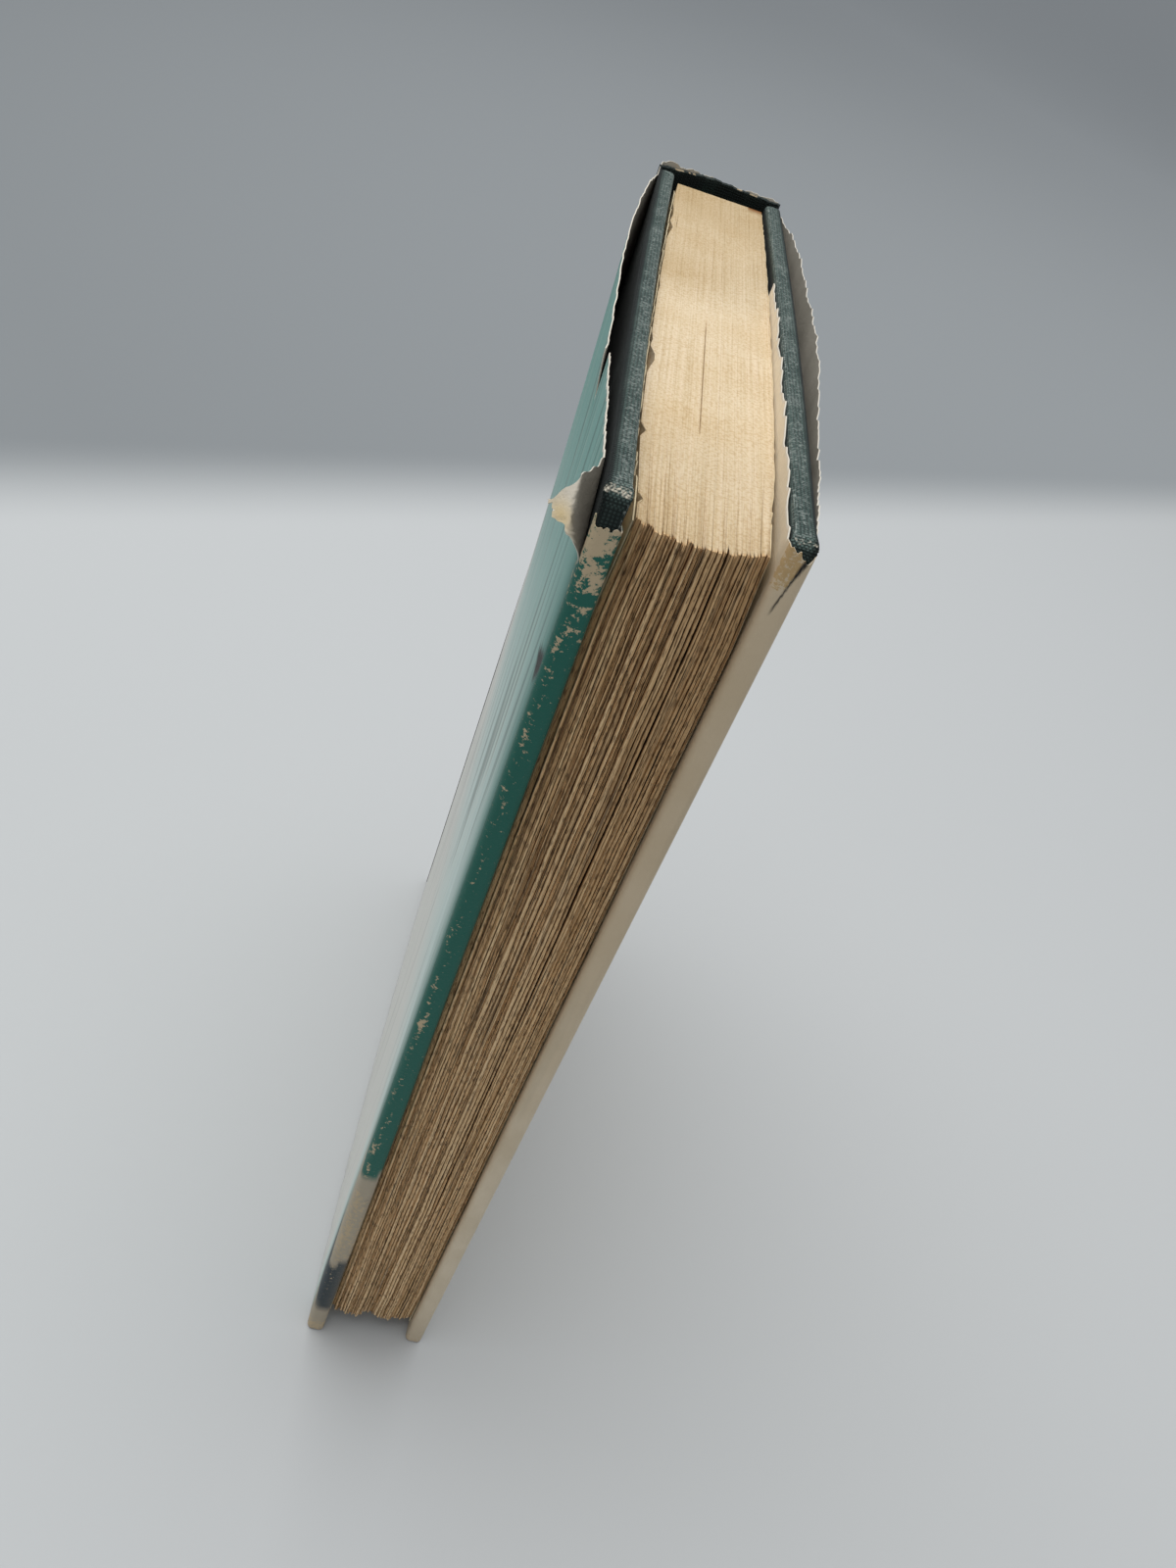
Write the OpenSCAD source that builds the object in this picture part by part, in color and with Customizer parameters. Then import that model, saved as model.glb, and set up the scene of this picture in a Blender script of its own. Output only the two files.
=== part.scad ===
// Worn cloth-bound book in a torn paper jacket, closed and standing on its tail edge.
// X is the thickness (front cover at -X), Y the depth (fore-edge at -Y, spine at +Y), Z the height.

/* [Boards] */
// Height of the bare boards
board_height = 195.4; // [150:0.1:260]
// Depth of the bare boards, fore-edge to joint
board_depth = 125.9; // [95:0.1:180]
// Thickness of the bare boards
board_thickness = 2.2; // [1.6:0.1:4]
// Radius of the worn board corners
corner_radius = 2; // [1:0.1:6]
// Rounding along the bare board's edges
edge_round = 0.5; // [0.2:0.05:0.7]

/* [Cloth] */
// Thickness of the covering cloth
cloth_thickness = 0.3; // [0.2:0.05:0.6]
// Width of the cloth turned in round the boards
turn_in = 14; // [8:0.5:22]

/* [Text block] */
// Thickness of the sewn pages at the spine
text_thickness = 16; // [8:0.1:40]
// Thickness of the pages at the fore-edge
fore_thickness = 14.9; // [7:0.1:40]
// Board standing past the pages at the head of the spine
head_square = 1.4; // [1:0.1:4]
// How far the pages have sunk at the head of the fore-edge
head_sag = 2; // [0:0.1:4]
// Board standing past the pages at the tail
tail_square = 3.3; // [2:0.1:6]
// Board standing past the pages at the fore-edge
fore_square = 3.4; // [2.8:0.1:8]
// Depth of the hollow between the pages and the joint line
spine_set_back = 2.2; // [1.5:0.1:5]
// Number of sewn sections
section_count = 20; // [8:1:40]
// Ridges that the uncut leaves of a section make
ridges_per_section = 2; // [1:1:4]
// Unevenness of the rough-cut fore-edge
deckle_depth = 1.1; // [0.2:0.1:1.6]
// Bulge of the middle of the fore-edge
fore_bulge = 0.9; // [0:0.1:1]
// Slant of the leaning spine: the front cover sits this far forward and the back cover this far back
cock = 1; // [0:0.1:3]

/* [End papers] */
// Thickness of the end papers
endpaper_thickness = 0.2; // [0.1:0.05:0.4]
// Cloth left showing round the pasted end paper
paste_margin = 4; // [2:0.5:8]
// Play between the loose leaf and the jacket flap
leaf_play = 0.3; // [0.2:0.05:1]

/* [Spine] */
// Thickness of the card that stiffens the spine
spine_card = 0.6; // [0.4:0.1:1.2]
// Bulge of the spine
spine_bulge = 2.4; // [0.5:0.1:4]
// Gap at the cloth joint between board and spine
joint_gap = 0.35; // [0.3:0.05:1]
// Wall of the paper lining glued in the hollow of the spine
lining_wall = 0.3; // [0.2:0.05:0.6]

/* [Jacket] */
// Thickness of the jacket paper
jacket_paper = 0.25; // [0.15:0.05:0.4]
// How far the front panel stands off its board at the head
front_stand_off = 3; // [0:0.1:6]
// How far the back panel stands off its board at the head
back_stand_off = 4; // [0:0.1:6]
// Width of the front flap
front_flap = 78; // [30:1:90]
// Width of the rear flap
rear_flap = 77; // [30:1:90]
// Jacket height missing at the head
head_loss = 1.4; // [0.6:0.1:4]
// Height of the jacket's tail above the board's tail
tail_rise = 0.4; // [0.2:0.1:2]
// Raggedness of the torn head edges
raggedness = 0.6; // [0:0.1:1]
// Length of the front tear along the head
tear_run = 10; // [8:0.5:30]
// Length of the front tear down the fore-edge fold
tear_drop = 8.5; // [8:0.5:30]
// Radius of the torn corner's curl
curl_radius = 1.2; // [1:0.1:4]
// Angle through which the torn corner is turned back
curl_angle = 105; // [60:1:170]
// Jacket missing from the top of the front fold
front_fold_loss = 5; // [2:0.5:15]
// Jacket missing from the top of the rear fold
rear_fold_loss = 4; // [2:0.5:15]
// Jacket missing from the top of the front flap
front_flap_loss = 8; // [5:0.5:20]
// Jacket missing from the top of the rear flap
rear_flap_loss = 0.8; // [0.6:0.1:4]
// Play of the jacket round the fore-edge
fold_play = 0.15; // [0.1:0.05:1]

/* [Hidden] */
$fn = 64;

// Covered boards
cover_t = board_thickness + 2 * cloth_thickness;
cover_h = board_height + 2 * cloth_thickness;
cover_d = board_depth + 2 * cloth_thickness;
cover_edge = edge_round + cloth_thickness;
cover_corner = corner_radius + cloth_thickness;
spine_end_flat = 0.2;

// Pages, end papers and flaps fill the space between the boards
text_back = cover_d - spine_set_back;
flap_share = max(front_flap, rear_flap) / text_back;
flap_half = (fore_thickness + (text_thickness - fore_thickness) * flap_share) / 2;
pages_half = max(text_thickness / 2, flap_half + jacket_paper, fore_thickness / 2 + jacket_paper);
inner_x = pages_half + 2 * endpaper_thickness + leaf_play;
outer_x = inner_x + cover_t;
ridge_points = 2 * section_count * ridges_per_section;
valley_share = 0.35;
page_reach = 2 * cover_d;

// Spine arcs: the hinge side of each board ends at the joint line
joint_y = cover_d;
jacket_inset = 0.3;
cut_past = 1;
spine_half = outer_x - jacket_inset;
spine_r = (spine_half * spine_half + spine_bulge * spine_bulge) / (2 * spine_bulge);
spine_y = joint_y + joint_gap + spine_bulge - spine_r;
card_r = spine_r + cloth_thickness;
cloth_r = card_r + spine_card;
jacket_r = cloth_r + cloth_thickness;
card_margin = 0.3;
lining_inset = 1;
lean_angle = atan(cock / outer_x);

// Jacket
panel_rows = 36;
panel_columns = 26;
back_rows = 20;
arc_steps = 5;
flap_steps = 9;
fold_columns = 12;
fold_ease = 0.05;
fold_radius = cover_edge + fold_ease;
panel_start = joint_y - jacket_inset;
panel_end = fold_radius;
fold_lap = 1;
panel_length = panel_start - panel_end;
flap_x = inner_x - endpaper_thickness;
chip_depth = 1.6;
chip_count = 26;
leaf_set_back = 1;
bow_skew = 0.7;
bow_rise = 3;
row_crowding = 1.7;
column_crowding = 1.8;
back_seed = 50;

// A torn line: a few sines of the place along the edge, between -1 and 1
function torn(y) = 0.5 * sin(7.3 * y) + 0.3 * sin(31 * y + 40) + 0.2 * sin(83 * y + 75);
// A repeatable value between 0 and 1 for each whole number
function scatter(i) = let (s = sin(i * 127.1 + 31.7) * 437.585) s - floor(s);

// Lean of the whole book: places across the pages slide along the depth, the spine turns
function slide(p) = [p.x, p.y + cock * p.x / outer_x];
function turn(p) =
    let (y = p.y - joint_y)
    [p.x * cos(lean_angle) - y * sin(lean_angle), joint_y + p.x * sin(lean_angle) + y * cos(lean_angle)];

module lean_spine() {
    translate([0, joint_y, 0]) rotate(lean_angle) translate([0, -joint_y, 0]) children();
}
module lean_front() { translate([0, -cock, 0]) children(); }
module lean_back() { translate([0, cock, 0]) children(); }

// Pages

// The head of the pages slopes down to the fore-edge
function page_top(y) = cover_h - head_square - head_sag * (1 - y / text_back);

// An outline in the Y-Z plane, carried right across the book
module across() {
    translate([-2 * outer_x, 0, 0]) rotate([90, 0, 90]) linear_extrude(4 * outer_x) children();
}

function fore_y(i) =
    let (across = 2 * i / ridge_points - 1, ridge = i % 2 == 0 ? 1 : valley_share)
    fore_square - fore_bulge * (1 - across * across) - deckle_depth * ridge * scatter(i);

module text_block() {
    edge = [for (i = [0:ridge_points])
        slide([fore_thickness * (i / ridge_points - 0.5), fore_y(i)])];
    back = [for (x = [text_thickness / 2, -text_thickness / 2]) turn([x, text_back])];
    place() color("wheat") intersection() {
        linear_extrude(cover_h) polygon(concat(edge, back));
        across() polygon([[-page_reach, tail_square], [page_reach, tail_square],
            [page_reach, page_top(page_reach)], [-page_reach, page_top(-page_reach)]]);
    }
}

// A loose end leaf against one side of the pages, its head chipped
module flyleaf(side, chip) {
    fore = slide([side * fore_thickness / 2, fore_y(side < 0 ? 0 : ridge_points)]);
    back = turn([side * text_thickness / 2, text_back]);
    at_front = fore + (back - fore) * leaf_set_back / text_back;
    out = [side * endpaper_thickness, 0];
    head = [for (i = [0:chip_count])
        let (y = -cock + (text_back + 2 * cock) * i / chip_count) [y, page_top(y) - chip * scatter(i + 5)]];
    place() color("antiquewhite") intersection() {
        linear_extrude(cover_h) polygon([at_front, back, back + out, at_front + out]);
        across() polygon(concat(head, [[page_reach, tail_square], [-cock, tail_square]]));
    }
}

module front_flyleaf() { flyleaf(-1, chip_depth); }
module rear_flyleaf() { flyleaf(1, chip_depth / 4); }

// Covers

module rounded_rect(w, h, r) {
    translate([r, 0]) square([w - 2 * r, h]);
    translate([0, r]) square([w, h - 2 * r]);
    for (x = [r, w - r], y = [r, h - r]) translate([x, y]) circle(r);
}

// Section of a board: edges rounded by r at the fore-edge, nearly a half round at the joint
module board_section(t, d, r) {
    joint_r = (t - spine_end_flat) / 2;
    translate([r, 0]) square([t - 2 * r, d / 2]);
    translate([0, r]) square([t, d - r - joint_r]);
    translate([joint_r, d / 2]) square([spine_end_flat, d / 2]);
    for (x = [r, t - r]) translate([x, r]) circle(r);
    for (x = [joint_r, t - joint_r]) translate([x, d - joint_r]) circle(joint_r);
}

module slab(t, d, h, r, corner) {
    intersection() {
        linear_extrude(h) board_section(t, d, r);
        translate([0, d, 0]) rotate([90, 0, 0]) linear_extrude(d) rounded_rect(t, h, r);
        rotate([90, 0, 90]) linear_extrude(t) rounded_rect(d, h, corner);
    }
}

module bare_board() {
    translate([inner_x + cloth_thickness, cloth_thickness, cloth_thickness])
        slab(board_thickness, board_depth, board_height, edge_round, corner_radius);
}

// The space inside the turned-in cloth, on the inner face of a board
module turn_in_window(depth) {
    translate([inner_x, turn_in, turn_in])
        cube([depth, cover_d - 2 * turn_in, cover_h - 2 * turn_in]);
}

module cover_cloth() {
    difference() {
        translate([inner_x, 0, 0]) slab(cover_t, cover_d, cover_h, cover_edge, cover_corner);
        bare_board();
        turn_in_window(cloth_thickness);
    }
}

module pastedown() {
    translate([inner_x - endpaper_thickness, paste_margin, paste_margin])
        cube([endpaper_thickness, cover_d - 2 * paste_margin, cover_h - 2 * paste_margin]);
    turn_in_window(cloth_thickness);
}

module front_board() { place() color("tan") lean_front() mirror([1, 0, 0]) bare_board(); }
module back_board() { place() color("tan") lean_back() bare_board(); }
module front_cloth() { place() color("#4d6f6b") lean_front() mirror([1, 0, 0]) cover_cloth(); }
module back_cloth() { place() color("#4d6f6b") lean_back() cover_cloth(); }
module front_pastedown() { place() color("antiquewhite") lean_front() mirror([1, 0, 0]) pastedown(); }
module rear_pastedown() { place() color("antiquewhite") lean_back() pastedown(); }

// Spine

module spine_arc(r_in, r_out, half) {
    intersection() {
        translate([0, spine_y]) difference() {
            circle(r_out, $fn = 360);
            circle(r_in, $fn = 360);
        }
        translate([-half, joint_y]) square([2 * half, jacket_r]);
    }
}

module spine_stiffener() {
    place() color("tan") lean_spine()
        translate([0, 0, cloth_thickness])
            linear_extrude(board_height)
                spine_arc(card_r, cloth_r, spine_half - card_margin);
}

module spine_cloth() {
    place() color("#4d6f6b") lean_spine() difference() {
        linear_extrude(cover_h) spine_arc(spine_r, jacket_r, spine_half);
        translate([0, 0, cloth_thickness])
            linear_extrude(board_height)
                spine_arc(card_r, cloth_r, spine_half - card_margin);
        translate([0, 0, turn_in])
            linear_extrude(cover_h - 2 * turn_in)
                spine_arc(spine_r - cut_past, card_r, spine_half + cut_past);
    }
}

// Flat paper tube that ties the pages to the spine
module spine_lining() {
    half = text_thickness / 2 - lining_inset;
    deep = spine_set_back + joint_gap + spine_bulge + cloth_thickness;
    place() color("burlywood") lean_spine()
        translate([0, 0, turn_in + lining_inset])
            linear_extrude(cover_h - 2 * (turn_in + lining_inset))
                intersection() {
                    difference() {
                        translate([-half, text_back]) square([2 * half, deep]);
                        intersection() {
                            translate([lining_wall - half, text_back + lining_wall])
                                square([2 * (half - lining_wall), deep]);
                            translate([0, spine_y]) circle(card_r - lining_wall, $fn = 360);
                        }
                    }
                    translate([0, spine_y]) circle(card_r, $fn = 360);
                }
}

// Jacket

// Closes two grids of points, the inner and the outer face of a sheet of paper
module sheet(inner, outer) {
    rows = len(inner);
    columns = len(inner[0]);
    function at(face, r, c) = (face * rows + r) * columns + c;
    function quad(a, b, c, d) = [[a, b, c], [a, c, d]];
    faces = [
        for (r = [0:rows - 2], c = [0:columns - 2])
            each quad(at(0, r, c), at(0, r + 1, c), at(0, r + 1, c + 1), at(0, r, c + 1)),
        for (r = [0:rows - 2], c = [0:columns - 2])
            each quad(at(1, r, c), at(1, r, c + 1), at(1, r + 1, c + 1), at(1, r + 1, c)),
        for (r = [0:rows - 2])
            each quad(at(0, r, 0), at(1, r, 0), at(1, r + 1, 0), at(0, r + 1, 0)),
        for (r = [0:rows - 2], c = [columns - 1])
            each quad(at(0, r, c), at(0, r + 1, c), at(1, r + 1, c), at(1, r, c)),
        for (c = [0:columns - 2])
            each quad(at(0, 0, c), at(0, 0, c + 1), at(1, 0, c + 1), at(1, 0, c)),
        for (c = [0:columns - 2], r = [rows - 1])
            each quad(at(0, r, c), at(1, r, c), at(1, r, c + 1), at(0, r, c + 1)),
    ];
    polyhedron(concat([for (row = inner) each row], [for (row = outer) each row]), faces, convexity = 8);
}

// Stand-off of a panel: most at the head, none at the joint, the fold and the tail
function stand_off(y, z, most) =
    most * sin(180 * pow((panel_start - y) / panel_length, bow_skew)) * pow(z / cover_h, bow_rise);

function head_z(y, seed) = cover_h - head_loss + raggedness * torn(y + seed);

// The torn corner of the front panel rolls outwards about the line from the head to the fold
tear_length = norm([tear_run, tear_drop]);
function past_tear(y, z) =
    ((tear_run - y) * tear_drop - (cover_h - z) * tear_run) / tear_length;
curl_reach = curl_radius * curl_angle * PI / 180;
function curl_turn(s) = s <= 0 ? 0 : min(curl_angle, s / curl_radius * 180 / PI);
function curl_along(s) =
    curl_radius * sin(curl_turn(s)) + max(0, s - curl_reach) * cos(curl_angle);
function curl_out(s) =
    curl_radius * (1 - cos(curl_turn(s))) + max(0, s - curl_reach) * sin(curl_angle);

// Point of the front panel that lies flat at y, z; depth is the place in the paper's thickness
function front_point(y, z, depth) =
    let (
        s = past_tear(y, z),
        turn = curl_turn(s),
        shift = s > 0 ? curl_along(s) - s - depth * sin(turn) : 0,
        out = s > 0 ? curl_out(s) + depth * cos(turn) : depth
    )
    [
        -outer_x - stand_off(y, z, front_stand_off) - out,
        y - shift * tear_drop / tear_length,
        z + shift * tear_run / tear_length
    ];
function back_point(y, z, depth) = [outer_x + stand_off(y, z, back_stand_off) + depth, y, z];

function row_y(i, rows) = panel_end + panel_length * pow(1 - i / (rows - 1), row_crowding);
function column_z(k, columns, top) =
    tail_rise + (top - tail_rise) * (1 - pow(1 - k / (columns - 1), column_crowding));

function front_grid(depth) = [for (i = [0:panel_rows - 1])
    let (y = row_y(i, panel_rows), top = head_z(y, 0))
    [for (k = [0:panel_columns - 1]) front_point(y, column_z(k, panel_columns, top), depth)]];
function back_grid(depth) = [for (i = [0:back_rows - 2])
    let (y = row_y(i, back_rows), worn = max(0, 1 - (y - panel_end) / rear_fold_loss))
    let (top = head_z(y, back_seed) - worn * (rear_fold_loss - head_loss))
    [for (k = [0:fold_columns - 1]) back_point(y, column_z(k, fold_columns, top), depth)]];

// Plan of a fold and flap on the +X side: round the fore-edge and along the inside of the board
function fold_plan(depth, flap_width) = concat(
    [for (i = [0:arc_steps])
        let (a = -90 * i / arc_steps, r = fold_radius + fold_play / 2 + depth)
        [outer_x - fold_radius - fold_play / 2 + r * cos(a), panel_end - fold_play / 2 + r * sin(a)]],
    [for (i = [0:arc_steps])
        let (a = -90 - 90 * i / arc_steps, r = fold_radius + depth)
        [flap_x + fold_radius + r * cos(a), panel_end - fold_play + r * sin(a)]],
    [for (i = [1:flap_steps])
        [flap_x - depth, panel_end + (flap_width - panel_end) * i / flap_steps]]
);

// Top of a fold and flap: low where the fold is worn through, then the flap's own height
function fold_top(row, y, fold_loss, flap_loss) =
    let (flat = max(0, min(1, (y - panel_end) / tear_drop)), on_flap = row > 2 * arc_steps + 1)
    cover_h - (on_flap ? fold_loss + (flap_loss - fold_loss) * flat : fold_loss)
        + raggedness * torn(3 * y + 5 * row);

function fold_grid(depth, side, flap_width, fold_loss, flap_loss) =
    let (plan = fold_plan(depth, flap_width), middle = fold_plan(0, flap_width))
    [for (i = [0:len(plan) - 1])
        let (top = fold_top(i, middle[i].y, fold_loss, flap_loss))
        [for (k = [0:fold_columns - 1])
            [side * plan[i].x, plan[i].y, column_z(k, fold_columns, top)]]];

// The front fold starts on a strip that laps the panel below the tear
function front_fold_grid(depth) =
    let (fold = fold_grid(depth, -1, front_flap, front_fold_loss, front_flap_loss))
    concat([[for (p = fold[0]) [p.x, p.y + fold_lap, p.z]]], fold);
function back_sheet(depth) = concat(back_grid(depth),
    fold_grid(depth, 1, rear_flap, rear_fold_loss, rear_flap_loss));

module jacket_front() {
    place() color("#7db5ab") lean_front() {
        sheet(front_grid(jacket_paper), front_grid(0));
        sheet(front_fold_grid(jacket_paper), front_fold_grid(0));
    }
}

module jacket_back() {
    place() color("#d8d0c2") lean_back() sheet(back_sheet(0), back_sheet(jacket_paper));
}

module jacket_spine() {
    place() color("#8fb0a8") lean_spine()
        translate([0, 0, tail_rise])
            linear_extrude(cover_h - head_loss - tail_rise)
                spine_arc(jacket_r, jacket_r + jacket_paper, spine_half);
}

// Frame: the origin is at the middle of the footprint, on the surface the book stands on
front_reach = max([for (row = front_grid(jacket_paper)) for (p = row) -p.x]);
back_reach = max([for (row = back_grid(jacket_paper)) for (p = row) p.x]);
fore_reach = min([for (p = fold_plan(jacket_paper, rear_flap)) p.y]) - cock;
spine_reach = turn([0, spine_y]).y + jacket_r + jacket_paper;

module place() {
    translate([(front_reach - back_reach) / 2, -(fore_reach + spine_reach) / 2, 0]) children();
}

text_block();
spine_lining();
front_flyleaf();
rear_flyleaf();
front_board();
back_board();
front_cloth();
back_cloth();
front_pastedown();
rear_pastedown();
spine_stiffener();
spine_cloth();
jacket_front();
jacket_spine();
jacket_back();
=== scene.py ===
import bmesh
import bpy
import numpy as np
from mathutils import Matrix, Vector


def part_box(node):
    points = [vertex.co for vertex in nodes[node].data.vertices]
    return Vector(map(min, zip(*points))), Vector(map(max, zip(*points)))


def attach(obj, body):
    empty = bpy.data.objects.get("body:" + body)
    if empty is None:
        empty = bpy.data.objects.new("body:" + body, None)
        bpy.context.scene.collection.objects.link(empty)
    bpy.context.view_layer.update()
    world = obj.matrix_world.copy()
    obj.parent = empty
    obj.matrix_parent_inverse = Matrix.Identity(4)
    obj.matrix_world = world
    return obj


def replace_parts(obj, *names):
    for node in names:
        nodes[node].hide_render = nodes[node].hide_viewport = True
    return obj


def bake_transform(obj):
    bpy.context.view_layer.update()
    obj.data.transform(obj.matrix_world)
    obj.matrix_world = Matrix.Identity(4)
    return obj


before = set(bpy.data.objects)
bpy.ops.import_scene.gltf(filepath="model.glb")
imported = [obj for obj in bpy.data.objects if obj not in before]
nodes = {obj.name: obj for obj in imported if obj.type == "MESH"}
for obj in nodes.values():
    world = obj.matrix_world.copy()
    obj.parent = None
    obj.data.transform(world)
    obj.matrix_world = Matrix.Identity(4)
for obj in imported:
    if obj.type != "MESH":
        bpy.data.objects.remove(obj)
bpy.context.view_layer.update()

print("frame loaded:", len(nodes), "nodes")

# Book frame, in mm: x from the middle of the pages, y from the boards' fore-edge, z from the tail
book = {
    "height": 196.0,
    "depth": 126.5,
    "coverThickness": 2.8,
    "innerX": 8.745,
    "outerX": 11.545,
    "bow": 0.65,  # how far the boards bow outwards between fore-edge and joint
    "cock": 1.0,  # front cover sits this far forward, back cover this far back
    "cloth": 0.3,
    "flatSpan": 400.0,  # mm of a sheet in one UV unit
}
lean = np.arctan2(book["cock"], book["outerX"])
boardCorner = np.array(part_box("front_board")[0]) * 1000
bareCorner = (book["cloth"] - book["outerX"], book["cloth"] - book["cock"], book["cloth"])
book["origin"] = boardCorner - bareCorner  # book frame to row frame
rng = np.random.default_rng(1938)


def toRow(points):  # book millimetres to row metres
    return (np.asarray(points, float) + book["origin"]) * 0.001


def turnSpine(points):  # the leaning spine: turned about the middle of the joint line
    x = points[..., 0]
    y = points[..., 1] - book["depth"]
    turned = np.array(points, float)
    turned[..., 0] = x * np.cos(lean) - y * np.sin(lean)
    turned[..., 1] = book["depth"] + x * np.sin(lean) + y * np.cos(lean)
    return turned


def smooth(value, low, high):  # 0 below low, 1 above high, eased between
    t = np.clip((value - low) / (high - low), 0, 1)
    return t * t * (3 - 2 * t)


def valueNoise(table, a, b):  # eased interpolation in a table of random values, a and b from 0 to 1
    rows, columns = table.shape
    fa = np.clip(a, 0, 1) * (rows - 1.001)
    fb = np.clip(b, 0, 1) * (columns - 1.001)
    i = fa.astype(int)
    j = fb.astype(int)
    u = smooth(fa - i, 0, 1)
    v = smooth(fb - j, 0, 1)
    low = table[i, j] * (1 - v) + table[i, j + 1] * v
    high = table[i + 1, j] * (1 - v) + table[i + 1, j + 1] * v
    return low * (1 - u) + high * u


def wander(seed, rows, columns):  # table of random values between -1 and 1
    return np.random.default_rng(seed).uniform(-1, 1, (rows, columns))


def bow(y):  # bow of the boards, y from their own fore-edge
    return book["bow"] * np.sin(np.pi * np.clip(y / book["depth"], 0, 1))


def sinDeg(angle):  # sine of degrees
    return np.sin(np.radians(angle))


def torn(y):  # a torn line: a few sines of the place along the edge, between -1 and 1
    return 0.5 * sinDeg(7.3 * y) + 0.3 * sinDeg(31 * y + 40) + 0.2 * sinDeg(83 * y + 75)


def gridQuads(index):  # quads between neighbouring entries of a table of vertex numbers
    corners = [index[:-1, :-1], index[1:, :-1], index[1:, 1:], index[:-1, 1:]]
    return np.stack(corners, axis=-1).reshape(-1, 4)


def addMesh(name, points, quads, values=None, flat=None):  # points in mm, a value a point, flat place as UV
    mesh = bpy.data.meshes.new(name)
    mesh.from_pydata(toRow(points).tolist(), [], quads.tolist())
    for key, value in (values or {}).items():
        layer = mesh.attributes.new(key, "FLOAT", "POINT")
        layer.data.foreach_set("value", np.asarray(value, np.float32))
    if flat is not None:
        layer = mesh.uv_layers.new(name="flat")
        corner = np.empty(len(mesh.loops), np.int32)
        mesh.loops.foreach_get("vertex_index", corner)
        layer.data.foreach_set("uv", (flat[corner] / book["flatSpan"]).astype(np.float32).ravel())
    work = bmesh.new()
    work.from_mesh(mesh)
    bmesh.ops.recalc_face_normals(work, faces=work.faces[:])
    work.to_mesh(mesh)
    work.free()
    mesh.polygons.foreach_set("use_smooth", np.ones(len(mesh.polygons), bool))
    mesh.set_sharp_from_angle(angle=np.radians(50))
    piece = bpy.data.objects.new(name, mesh)
    bpy.context.scene.collection.objects.link(piece)
    return piece


# A sheet of paper: a grid of points, thickened along its normals and closed by a rim
def sheetParts(grid, thickness, outward, values, flat):
    along = np.gradient(grid, axis=0)
    up = np.gradient(grid, axis=1)
    normal = np.cross(along, up)
    normal /= np.maximum(np.linalg.norm(normal, axis=-1, keepdims=True), 1e-9)
    outer = grid + normal * thickness * outward
    count = grid.shape[0] * grid.shape[1]
    index = np.arange(2 * count).reshape(2, *grid.shape[:2])
    rims = []
    for edge in (np.s_[:, 0, :], np.s_[:, -1, :], np.s_[:, :, 0], np.s_[:, :, -1]):
        rims.append(gridQuads(index[edge]))
    quads = np.concatenate([gridQuads(index[0]), gridQuads(index[1])[:, ::-1]] + rims)
    points = np.concatenate([grid.reshape(-1, 3), outer.reshape(-1, 3)])
    doubled = {}
    for key, value in values.items():
        doubled[key] = np.tile(np.broadcast_to(value, grid.shape[:2]).ravel(), 2)
    doubled["inside"] = np.repeat([1.0, 0.0], count)
    return points, quads, doubled, np.tile(flat.reshape(-1, 2), (2, 1))


def joinParts(parts):  # several sheets as the parts of one mesh
    start = np.cumsum([0] + [len(part[0]) for part in parts])
    points = np.concatenate([part[0] for part in parts])
    quads = np.concatenate([part[1] + begin for part, begin in zip(parts, start)])
    values = {key: np.concatenate([part[2][key] for part in parts]) for key in parts[0][2]}
    return points, quads, values, np.concatenate([part[3] for part in parts])


# The outside of a lattice of cells: unique points as (i, j, k) shares and the quads that close it
def boxSurface(counts):
    size = np.array(counts) + 1
    keys = []
    for axis in range(3):
        one, two = [a for a in range(3) if a != axis]
        spots = np.stack(np.meshgrid(np.arange(size[one]), np.arange(size[two]), indexing="ij"), axis=-1)
        for end in (0, counts[axis]):
            cell = np.zeros(spots.shape[:2] + (3,), int)
            cell[..., one] = spots[..., 0]
            cell[..., two] = spots[..., 1]
            cell[..., axis] = end
            keys.append(gridQuads((cell[..., 0] * size[1] + cell[..., 1]) * size[2] + cell[..., 2]))
    used, quads = np.unique(np.concatenate(keys), return_inverse=True)
    shares = np.stack(np.unravel_index(used, size), axis=-1)
    return shares, quads.reshape(-1, 4)


def linear(code):  # sRGB hex to linear colour
    parts = np.array([int(code[i:i + 2], 16) for i in (1, 3, 5)]) / 255
    value = np.where(parts <= 0.04045, parts / 12.92, ((parts + 0.055) / 1.055) ** 2.4)
    return (*value.tolist(), 1.0)


def addNode(tree, kind, links=None, stops=None, **settings):  # one node with its settings and links
    made = tree.nodes.new("ShaderNode" + kind)
    for key, value in settings.items():
        setattr(made, key, value)
    if stops:
        ramp = made.color_ramp.elements
        while len(ramp) < len(stops):
            ramp.new(1.0)
        for element, (place, code) in zip(ramp, stops):
            element.position = place
            element.color = linear(code)
    for key, value in (links or {}).items():
        socket = made.inputs[key]
        if isinstance(value, bpy.types.NodeSocket):
            tree.links.new(value, socket)
        elif isinstance(value, str):
            socket.default_value = linear(value)
        else:
            socket.default_value = value
    return made.outputs


def newMaterial(name):  # an empty node tree to fill
    material = bpy.data.materials.new(name)
    material.use_nodes = True
    material.node_tree.nodes.clear()
    return material, material.node_tree


def perMetre(mm):  # repeats per metre of a pattern that size
    return 1000.0 / mm


def perFlat(mm):  # repeats per UV unit of a pattern that size
    return book["flatSpan"] / mm


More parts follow.
